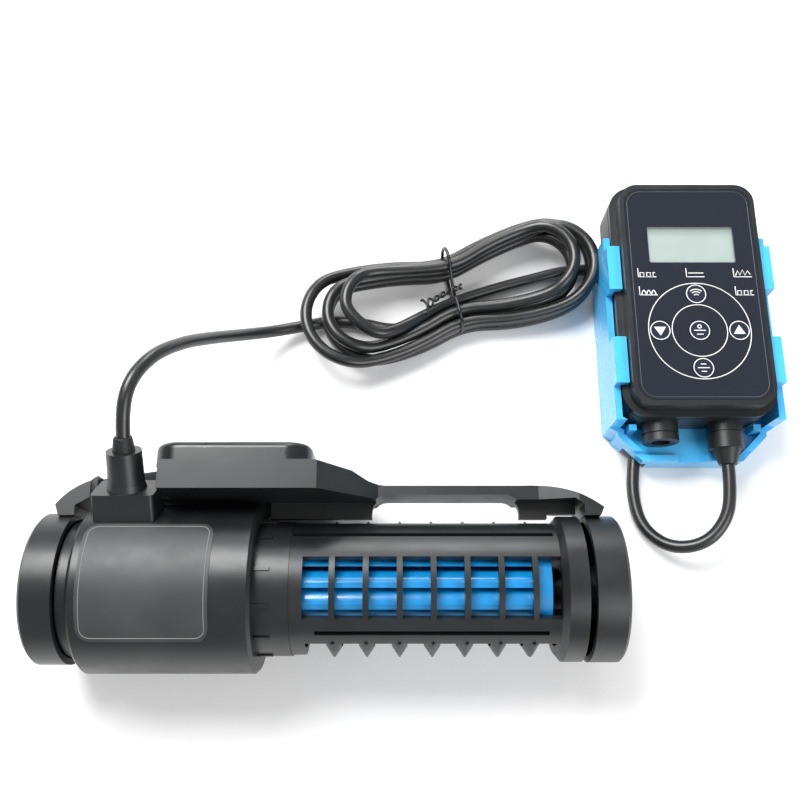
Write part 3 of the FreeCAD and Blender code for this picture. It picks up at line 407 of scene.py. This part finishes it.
# ------------------------------------------------------------------ cord
HANK_MIDDLE = (72.0, 79.1)
HANK_ANGLE = math.radians(17.0)
LEFT_ENDS = (53.0, 56.0, 52.5, 45.5)
RIGHT_ENDS = (52.0, 54.5, 55.0, 51.0)
LEAD = [(-31.1, 3.824, 48.875), (-31.1, 14.308, 55.683), (-29.5, 25.8, 59.2),
        (-24.5, 36.5, 54.5), (-18.0, 45.0, 43.5), (-11.0, 52.0, 29.5), (-3.5, 58.0, 16.5),
        (6.0, 63.0, 7.0), (17.5, 66.8, 3.2)]
INWARD = [(-46.0, 3.4, 2.3), (-36.0, -0.5, 2.3), (-25.0, -7.0, 2.3), (-13.0, -8.9, 2.3)]
OUTWARD = [(-33.5, -11.0, 14.9), (-25.0, -10.6, 11.8), (-15.0, -7.0, 7.6), (-4.0, -3.6, 4.2),
           (8.0, -2.2, 2.5), (21.0, -2.0, 2.3), (33.0, -2.4, 2.3)]
TAIL = [(114.0, 89.2, 2.4), (127.5, 90.4, 2.4), (138.0, 85.8, 2.4), (144.5, 76.0, 2.4),
        (146.3, 61.0, 2.4), (143.8, 44.5, 2.4), (139.4, 29.5, 2.4), (135.8, 15.5, 2.4),
        (134.4, 2.4, 2.5), (136.6, -9.2, 3.9), (144.9, -16.5, 7.2), (155.8, -15.6, 11.4),
        (162.8, -7.6, 14.6), (164.7, 2.8, 15.3), (164.7, 11.0, 15.3)]


# Heights in millimetres, and shares of one turn
LOWEST = 2.3
OVER_LEADS = 4.7
WAIST = 15.0
STRAIGHT = 0.2
FOLD = 0.3
EARLY = 0.1
CHANGE = 0.12


def hank_place(u, v, z):
    """A point of the hank: u along it, v across it, z above the table, in millimetres."""
    x = HANK_MIDDLE[0] + u * math.cos(HANK_ANGLE) - v * math.sin(HANK_ANGLE)
    y = HANK_MIDDLE[1] + u * math.sin(HANK_ANGLE) + v * math.cos(HANK_ANGLE)
    return (x, y, z)


def step(value, low, high):
    """Rise smoothly from 0 at low to 1 at high."""
    share = min(1.0, max(0.0, (value - low) / (high - low)))
    return share * share * (3 - 2 * share)


def per_turn(values, turn, place):
    """A value that changes from turn to turn while the strand is at the other end."""
    out = values[0]
    for n in range(1, len(values)):
        change = n - 0.5 + place
        out += (values[n] - values[n - 1]) * step(turn, change - CHANGE, change + CHANGE)
    return out


def hank_point(turn, sizes):
    """The strand after so many turns: two side by side in a layer, three layers, over both leads."""
    inward = sizes.pitch / MM * (1 - step(turn, 0.74, 0.99) + step(turn, 2.2, 2.45))
    layer = step(turn, 1.45, 1.73) + step(turn, 2.95, 3.2)
    part = turn % 1
    over = step(part, 0.05, 0.16) * (1 - step(part, 0.32, 0.44))
    over += step(part, 0.56, 0.67) * (1 - step(part, 0.82, 0.94))
    half = sizes.half_width / MM - 0.3 * layer - inward
    left = per_turn(LEFT_ENDS, turn, 0.75) - inward - half
    right = per_turn(RIGHT_ENDS, turn, 0.25) - inward - half
    phase = (part + EARLY) % 1
    if phase < STRAIGHT:
        u, v = -left + (left + right) * phase / STRAIGHT, -half
    elif phase < 0.5:
        angle = math.pi * ((phase - STRAIGHT) / FOLD - 0.5)
        u, v = right + half * math.cos(angle), half * math.sin(angle)
    elif phase < 0.5 + STRAIGHT:
        u, v = right - (left + right) * (phase - 0.5) / STRAIGHT, half
    else:
        angle = math.pi * ((phase - 0.5 - STRAIGHT) / FOLD + 0.5)
        u, v = -left + half * math.cos(angle), half * math.sin(angle)
    v -= math.copysign(sizes.pinch / MM * math.exp(-(u / WAIST) ** 2), v)
    return hank_place(u, v, LOWEST + sizes.layer / MM * layer + OVER_LEADS * over)


def cord_points(sizes):
    """The whole route: lead, inner end, turns, outer end and tail."""
    count = int(sizes.turns * sizes.points_per_turn) + 1
    turns = [hank_point(k / sizes.points_per_turn, sizes) for k in range(count)]
    route = LEAD + [hank_place(*p) for p in INWARD] + turns
    route += [hank_place(*p) for p in OUTWARD] + TAIL
    return [mm(*p) for p in route]


class PUMP_OT_cord(bpy.types.Operator):
    """Lay the cord from the gland through its tied hank to the controller's plug"""

    bl_idname = "pump.cord"
    bl_label = "Cord"

    def execute(self, context):
        sizes = context.scene.pump_cord
        colours = context.scene.pump_colours
        line = curve_of("cord", [cord_points(sizes)], 0.0, "NURBS", steps=8)
        traced = bpy.data.meshes.new_from_object(line)
        line.data.bevel_depth = sizes.diameter / 2
        line.data.bevel_resolution = 4
        cord = meshed(line)
        bpy.ops.object.shade_smooth_by_angle(angle=math.radians(50))
        settle(cord, "cord", jacketed("cord jacket", colours.jacket))
        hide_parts("cord_lead", "cord_hank", "cord_tail")
        tie = bpy.data.objects.get("twist_tie_wire")
        if tie is None:
            raise RuntimeError("the twist tie is made before the cord")
        mm(*LEAD[0])
        mm(*LEAD[0])
        mm(*LEAD[7])
        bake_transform(cord)
        return {"FINISHED"}


class PUMP_OT_tie(bpy.types.Operator):
    """Twist the coated wire round the hank's waist"""

    bl_idname = "pump.tie"
    bl_label = "Twist tie"

    def execute(self, context):
        sizes = context.scene.pump_cord
        across = [(-8.0, 0.7), (-14.4, 1.0), (-15.7, 6.0), (-15.0, 11.5), (-11.0, 14.6),
                  (-6.0, 12.5), (0.0, 9.8), (6.0, 14.0), (9.0, 17.4), (13.4, 16.4), (15.8, 11.0),
                  (15.7, 5.0), (14.4, 1.0), (8.0, 0.7), (0.0, 0.7)]
        band = curve_of("twist_tie_wire", [[mm(*hank_place(1.2 * math.sin(v / 9), v, z))
                                           for v, z in across]],
                        sizes.tie_wire, "NURBS", closed=True, steps=6)
        spans, reach, twist = 33, 16.0, 6.2 * math.pi
        strand, parting, spread = 0.75, 0.72, 9
        ends = []
        for side in (0, math.pi):
            stroke = []
            for k in range(spans + 1):
                share = k / spans
                angle = side + share * twist
                wide = strand + max(0.0, share - parting) * spread
                lift = 11.6 + 2.2 * math.sin(share * math.pi)
                stroke.append(mm(*hank_place(3.0 - reach * share,
                                             -1.0 - 4.0 * share + wide * math.cos(angle),
                                             lift + strand * math.sin(angle))))
            ends.append(stroke)
        tails = curve_of("twist_tie_ends", ends, sizes.tie_wire * 0.8, "NURBS", steps=4)
        tie = joined([meshed(band), meshed(tails)])
        bpy.ops.object.shade_smooth_by_angle(angle=math.radians(50))
        settle(tie, "twist_tie_wire", glossy("tie coating", (0.012, 0.013, 0.014), 0.25),
               "root")
        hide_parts("twist_tie")
        return {"FINISHED"}


class PUMP_OT_relief(bpy.types.Operator):
    """Turn the tapered sleeve that holds the cord where it leaves the gland"""

    bl_idname = "pump.relief"
    bl_label = "Strain relief"

    def execute(self, context):
        colours = context.scene.pump_colours
        start, ahead = mm(*LEAD[0]), (mm(*LEAD[1]) - mm(*LEAD[0])).normalized()
        long, wide, narrow = 8.5 * MM, 4.0 * MM, 2.75 * MM
        deselect()
        bpy.ops.mesh.primitive_cone_add(vertices=48, radius1=wide, radius2=narrow,
                                        depth=long, location=start + ahead * long / 2,
                                        rotation=ahead.to_track_quat("Z", "Y").to_euler())
        sleeve = bpy.context.view_layer.objects.active
        bpy.ops.object.mode_set(mode="EDIT")
        bpy.ops.mesh.select_all(action="SELECT")
        bpy.ops.mesh.bevel(offset=0.45 * MM, segments=4, affect="EDGES")
        bpy.ops.mesh.normals_make_consistent(inside=False)
        bpy.ops.object.mode_set(mode="OBJECT")
        bpy.ops.object.shade_smooth_by_angle(angle=math.radians(35))
        settle(sleeve, "cord_relief", rubbery("relief rubber", colours.jacket, 0.45),
               "barrel")
        return {"FINISHED"}


# ------------------------------------------------------------------ controller's print
def face_point(x, y, lift):
    """A point on the controller's face, from its middle, in millimetres."""
    centre = middle("face_panel")
    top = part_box("face_panel")[1][2]
    return Vector((centre.x + x * MM, centre.y + y * MM, top + lift * MM))


GRAPH_SCALE = 0.72
INK_LIFT = 0.02


def icon_strokes(x, y, shape):
    """A small graph: two axes and a waveform, about 6 wide and 3 high."""
    axes = [(0, 4.4), (0, 0), (8.6, 0)]
    waves = {
        "blocks": [(0.9, 0), (0.9, 2.2), (2.7, 2.2), (2.7, 0), (4.1, 0), (4.1, 2.2), (5.9, 2.2),
                   (5.9, 0), (7.2, 0), (7.2, 2.2), (8.2, 2.2)],
        "humps": [(0.9 + k * 0.2, abs(math.sin(k * 0.27)) * 2.3 + 0.1) for k in range(36)],
        "level": [(0.9, 2.0), (8.2, 2.0)],
        "zigzag": [(0.9, 0.6), (2.0, 3.2), (3.0, 0.8), (4.4, 3.6), (5.4, 0.8), (6.8, 3.2),
                   (8.0, 1.2)],
    }
    return [[face_point(x + dx * GRAPH_SCALE, y + dy * GRAPH_SCALE, INK_LIFT) for dx, dy in line]
            for line in (axes, waves[shape])]


class PUMP_OT_face(bpy.types.Operator):
    """Print the rings, graphs and edge line on the controller's face"""

    bl_idname = "pump.face"
    bl_label = "Face print"

    def execute(self, context):
        sizes = context.scene.pump_print
        ink = printed("face ink")
        centre = middle("key_middle")
        centre.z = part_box("face_panel")[1][2] + INK_LIFT * MM
        rings = [ring_points(centre, sizes.outer_ring, 96), ring_points(centre, sizes.inner_ring)]
        loops = meshed(curve_of("face_rings", rings, sizes.line, closed=True, sides=1))
        settle(loops, "face_rings", ink, body="controller")
        places = (("blocks", -19.4, 5.2), ("level", -2.7, 5.2), ("zigzag", 13.7, 5.2),
                  ("humps", -19.4, -1.6), ("blocks", 13.7, -1.6))
        strokes = [line for shape, x, y in places for line in icon_strokes(x, y, shape)]
        icons = meshed(curve_of("face_graphs", strokes, sizes.line * 1.1, sides=1))
        settle(icons, "face_graphs", ink, body="controller")
        low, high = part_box("face_panel")
        inset, corner = 0.9 * MM, 5.0 * MM
        edge = []
        for x, y, start in ((high[0], high[1], 0), (low[0], high[1], 90), (low[0], low[1], 180),
                            (high[0], low[1], 270)):
            at = Vector((x - math.copysign(inset + corner, x - centre.x),
                         y - math.copysign(inset + corner, y - (low[1] + high[1]) / 2), centre.z))
            edge += ring_points(at, corner, 10, start, 90)
        rim = meshed(curve_of("face_edge_line", [edge], 0.26 * MM, closed=True, sides=1))
        settle(rim, "face_edge_line", glossy("edge line ink", (0.045, 0.055, 0.07), 0.3),
               "controller")
        return {"FINISHED"}


class PUMP_OT_keys(bpy.types.Operator):
    """Print each key's ring and sign"""

    bl_idname = "pump.keys"
    bl_label = "Key print"

    def execute(self, context):
        sizes = context.scene.pump_print
        ink = printed("key ink")
        for name in KEYS:
            centre = middle(name)
            centre.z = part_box(name)[1][2] + INK_LIFT * MM

            def at(x, y, origin=centre):
                return origin + Vector((x * MM, y * MM, 0))

            ring = meshed(curve_of(name + "_ring", [ring_points(centre, sizes.key_ring, 48)],
                                   sizes.line, closed=True, sides=1))
            signs = {
                "key_left": [[at(-1.7, 1.1), at(1.7, 1.1), at(0, -1.6)]],
                "key_right": [[at(-1.7, -1.1), at(1.7, -1.1), at(0, 1.6)]],
                "key_bottom": [[at(-2.0, 0), at(2.0, 0)], [at(-0.9, 1.3), at(0.9, 1.3)],
                               [at(-0.9, -1.3), at(0.9, -1.3)]],
                "key_middle": [[at(-2.0, 0), at(2.0, 0)], ring_points(at(0, 1.4), 0.6 * MM, 20, 0, 350),
                               [at(-1.1, -1.4), at(1.1, -1.4)]],
                "key_top": [ring_points(at(0, -1.4), r * MM, 14, 50, 80) for r in (1.2, 2.2, 3.1)],
            }
            solid = name in ("key_left", "key_right")
            sign = curve_of(name + "_sign", signs[name], sizes.line * 1.1, closed=solid, sides=1)
            if solid:
                sign.data.dimensions = "2D"
                sign.data.fill_mode = "BOTH"
                for point in sign.data.splines[0].points:
                    point.co.z = 0
                sign.location.z = centre.z
            mark = joined([ring, meshed(sign)])
            settle(mark, name + "_print", ink, body=name)
        return {"FINISHED"}


class PUMP_OT_label(bpy.types.Operator):
    """Draw the thin pale border of the blank label on the motor housing"""

    bl_idname = "pump.label"
    bl_label = "Label border"

    def execute(self, context):
        low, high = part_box("label")
        axis_y, axis_z = (low[1] + high[1]) / 2, frame["joints"][0]["pos_m"][2]
        margin, corner, stride = 1.2 * MM, 3.0 * MM, 1.5 * MM
        radius = high[2] - axis_z + 0.03 * MM
        reach = math.asin((high[1] - axis_y) / radius) - margin / radius
        left, right = low[0] + margin, high[0] - margin
        flat = []
        for x, y, start in ((right, reach * radius, 0), (left, reach * radius, 90),
                            (left, -reach * radius, 180), (right, -reach * radius, 270)):
            at = Vector((x - math.copysign(corner, x - (left + right) / 2),
                         y - math.copysign(corner, y), 0))
            flat += ring_points(at, corner, 8, start, 90)
        dense = []
        for a, b in zip(flat, flat[1:] + flat[:1]):
            count = max(1, int((b - a).length / stride))
            dense += [a + (b - a) * k / count for k in range(count)]
        border = [Vector((p.x, axis_y + radius * math.sin(p.y / radius),
                          axis_z + radius * math.cos(p.y / radius))) for p in dense]
        piece = meshed(curve_of("label_border", [border], 0.3 * MM, closed=True, sides=1))
        settle(piece, "label_border", printed("label ink", 0.2), "barrel")
        return {"FINISHED"}


# ------------------------------------------------------------------ finishes of the CAD pieces
class PUMP_OT_pump_finish(bpy.types.Operator):
    """Give the pump's outside pieces their finishes"""

    bl_idname = "pump.pump_finish"
    bl_label = "Pump finishes"

    def execute(self, context):
        colours = context.scene.pump_colours
        black = tuple(colours.plastic)
        paint_node(("motor_housing", "cord_gland", "motor_end_cap"),
                   moulded("housing plastic", black, 0.36))
        paint_node(("strainer_cage", "end_plate"), moulded("strainer plastic", black, 0.34, 0.3))
        paint_node(("bracket", "pivot_pins"), moulded("bracket plastic", scaled(black, 1.1), 0.38))
        paint_node(("dry_magnet_case",), moulded("magnet case plastic", black, 0.3))
        paint_node(("label",), moulded("label film", (0.036, 0.039, 0.040), 0.5, 0.2, 0.006, 1.25))
        paint_node(("impeller",), glossy("impeller plastic", tuple(colours.impeller), 0.2,
                                         Coat_Weight=0.4, Coat_Roughness=0.12))
        paint_node(("wet_pad", "dry_pad", "end_cap_seal", "can_seal", "gasket"),
                   rubbery("soft rubber", (0.012, 0.012, 0.012)))
        return {"FINISHED"}


class PUMP_OT_inner_finish(bpy.types.Operator):
    """Give the motor's and the controller's inner pieces their finishes"""

    bl_idname = "pump.inner_finish"
    bl_label = "Inner finishes"

    def execute(self, context):
        paint_node(("stator_core",), metal("laminated steel", (0.35, 0.36, 0.38), 0.4, "X", 0.5))
        paint_node(("stator_coils",), metal("enamelled wire", (0.62, 0.22, 0.07), 0.25, "X", 0.6))
        paint_node(("wet_magnets", "dry_magnets", "rotor_magnet"),
                   metal("magnet coating", (0.2, 0.2, 0.22), 0.35))
        paint_node(("shaft",), metal("ground steel", (0.6, 0.61, 0.62), 0.16, "X", 0.2))
        paint_node(("case_screws", "tact_switches"),
                   metal("plain steel", (0.5, 0.51, 0.53), 0.3))
        paint_node(("drive_board", "circuit_board"), board("board green"))
        paint_node(("rotor_can", "motor_bearings", "end_bearing"),
                   moulded("bearing plastic", (0.03, 0.03, 0.032), 0.3, 0.2))
        paint_node(("thrust_washers",), moulded("washer plastic", (0.7, 0.7, 0.68), 0.35, 0.2,
                                                0.006, 1.1))
        return {"FINISHED"}


class PUMP_OT_controller_finish(bpy.types.Operator):
    """Give the controller and its holder their finishes"""

    bl_idname = "pump.controller_finish"
    bl_label = "Controller finishes"

    def execute(self, context):
        colours = context.scene.pump_colours
        black = tuple(colours.plastic)
        gloss = dict(Coat_Weight=0.6, Coat_Roughness=0.06)
        paint_node(("front_shell", "back_shell"), moulded("case plastic", scaled(black, 1.15), 0.4))
        paint_node(("dc_inlet", "pump_socket", "cord_plug"),
                   moulded("connector plastic", black, 0.42, 0.25))
        paint_node(("face_panel",), glossy("face gloss", tuple(colours.panel), 0.09, **gloss))
        paint_node(KEYS, glossy("key gloss", scaled(tuple(colours.panel), 1.6), 0.12, **gloss))
        paint_node(("lcd_window",), clear("window film"))
        paint_node(("lcd_module",), display("display glass", tuple(colours.display)))
        paint_node(("wall_holder",), glossy("holder plastic", tuple(colours.blue), 0.2, 1.2,
                                            Coat_Weight=0.3, Coat_Roughness=0.15))
        return {"FINISHED"}


# ------------------------------------------------------------------ stage
def area_light(name, at, target, size, power):
    data = bpy.data.lights.new(name, "AREA")
    data.shape = "DISK"
    data.size = size
    data.energy = power
    lamp = bpy.data.objects.new(name, data)
    lamp.location = at
    lamp.rotation_euler = (Vector(target) - Vector(at)).to_track_quat("-Z", "Y").to_euler()
    bpy.context.scene.collection.objects.link(lamp)


class PUMP_OT_stage(bpy.types.Operator):
    """Set the pale floor, the soft lights and the camera"""

    bl_idname = "pump.stage"
    bl_label = "Stage"

    def execute(self, context):
        deselect()
        bpy.ops.mesh.primitive_plane_add(size=6.0, location=(0.06, 0.0, -0.0004))
        floor = bpy.context.view_layer.objects.active
        floor.name = "floor"
        paint = Paint("pale floor", Roughness=0.8)
        paper = paint.noise(4 * MM, 3.0)
        floor.data.materials.append(paint.wear(paint.blend(paper, (0.86, 0.86, 0.86),
                                                           (0.9, 0.9, 0.9))))
        world = bpy.data.worlds.new("studio")
        world.use_nodes = True
        world.node_tree.nodes["Background"].inputs[0].default_value = (1, 1, 1, 1)
        world.node_tree.nodes["Background"].inputs[1].default_value = 0.5
        context.scene.world = world
        target = (0.06, 0.0, 0.02)
        area_light("key light", (-0.25, 0.45, 0.75), target, 0.5, 11.0)
        area_light("fill light", (0.55, -0.45, 0.6), target, 0.6, 4.5)
        area_light("rim light", (0.1, 0.9, 0.35), target, 0.4, 3.5)
        data = bpy.data.cameras.new("camera")
        data.lens = 40.5
        data.sensor_width = 36.0
        data.clip_start = 0.01
        camera = bpy.data.objects.new("camera", data)
        camera.location = mm(52.5, -57.8, 316.0)
        tilt = math.radians(73.0)
        ahead = Vector((0, math.cos(tilt), -math.sin(tilt)))
        camera.rotation_euler = ahead.to_track_quat("-Z", "Y").to_euler()
        context.scene.collection.objects.link(camera)
        context.scene.camera = camera
        context.scene.view_settings.view_transform = "Standard"
        return {"FINISHED"}


class PUMP_PT_panel(bpy.types.Panel):
    bl_label = "Wave maker pump"
    bl_idname = "PUMP_PT_panel"
    bl_space_type = "VIEW_3D"
    bl_region_type = "UI"
    bl_category = "Pump"

    def draw(self, context):
        layout = self.layout
        for group in (context.scene.pump_cord, context.scene.pump_print,
                      context.scene.pump_colours):
            box = layout.box()
            for key in group.bl_rna.properties.keys():
                if key not in ("rna_type", "name"):
                    box.prop(group, key)
        for operator in OPERATORS:
            layout.operator(operator.bl_idname)


GROUPS = (PUMP_PG_cord, PUMP_PG_print, PUMP_PG_colours)
OPERATORS = (PUMP_OT_stage, PUMP_OT_tie, PUMP_OT_cord, PUMP_OT_relief, PUMP_OT_face,
             PUMP_OT_keys, PUMP_OT_label, PUMP_OT_pump_finish, PUMP_OT_inner_finish,
             PUMP_OT_controller_finish)


def register():
    for made in (*GROUPS, *OPERATORS, PUMP_PT_panel):
        bpy.utils.register_class(made)
    bpy.types.Scene.pump_cord = PointerProperty(type=PUMP_PG_cord)
    bpy.types.Scene.pump_print = PointerProperty(type=PUMP_PG_print)
    bpy.types.Scene.pump_colours = PointerProperty(type=PUMP_PG_colours)


def unregister():
    for name in ("pump_colours", "pump_print", "pump_cord"):
        delattr(bpy.types.Scene, name)
    for made in reversed((*GROUPS, *OPERATORS, PUMP_PT_panel)):
        bpy.utils.unregister_class(made)


def main():
    register()
    for operator in OPERATORS:
        group, name = operator.bl_idname.split(".")
        getattr(getattr(bpy.ops, group), name)()


if __name__ == "__main__":
    main()
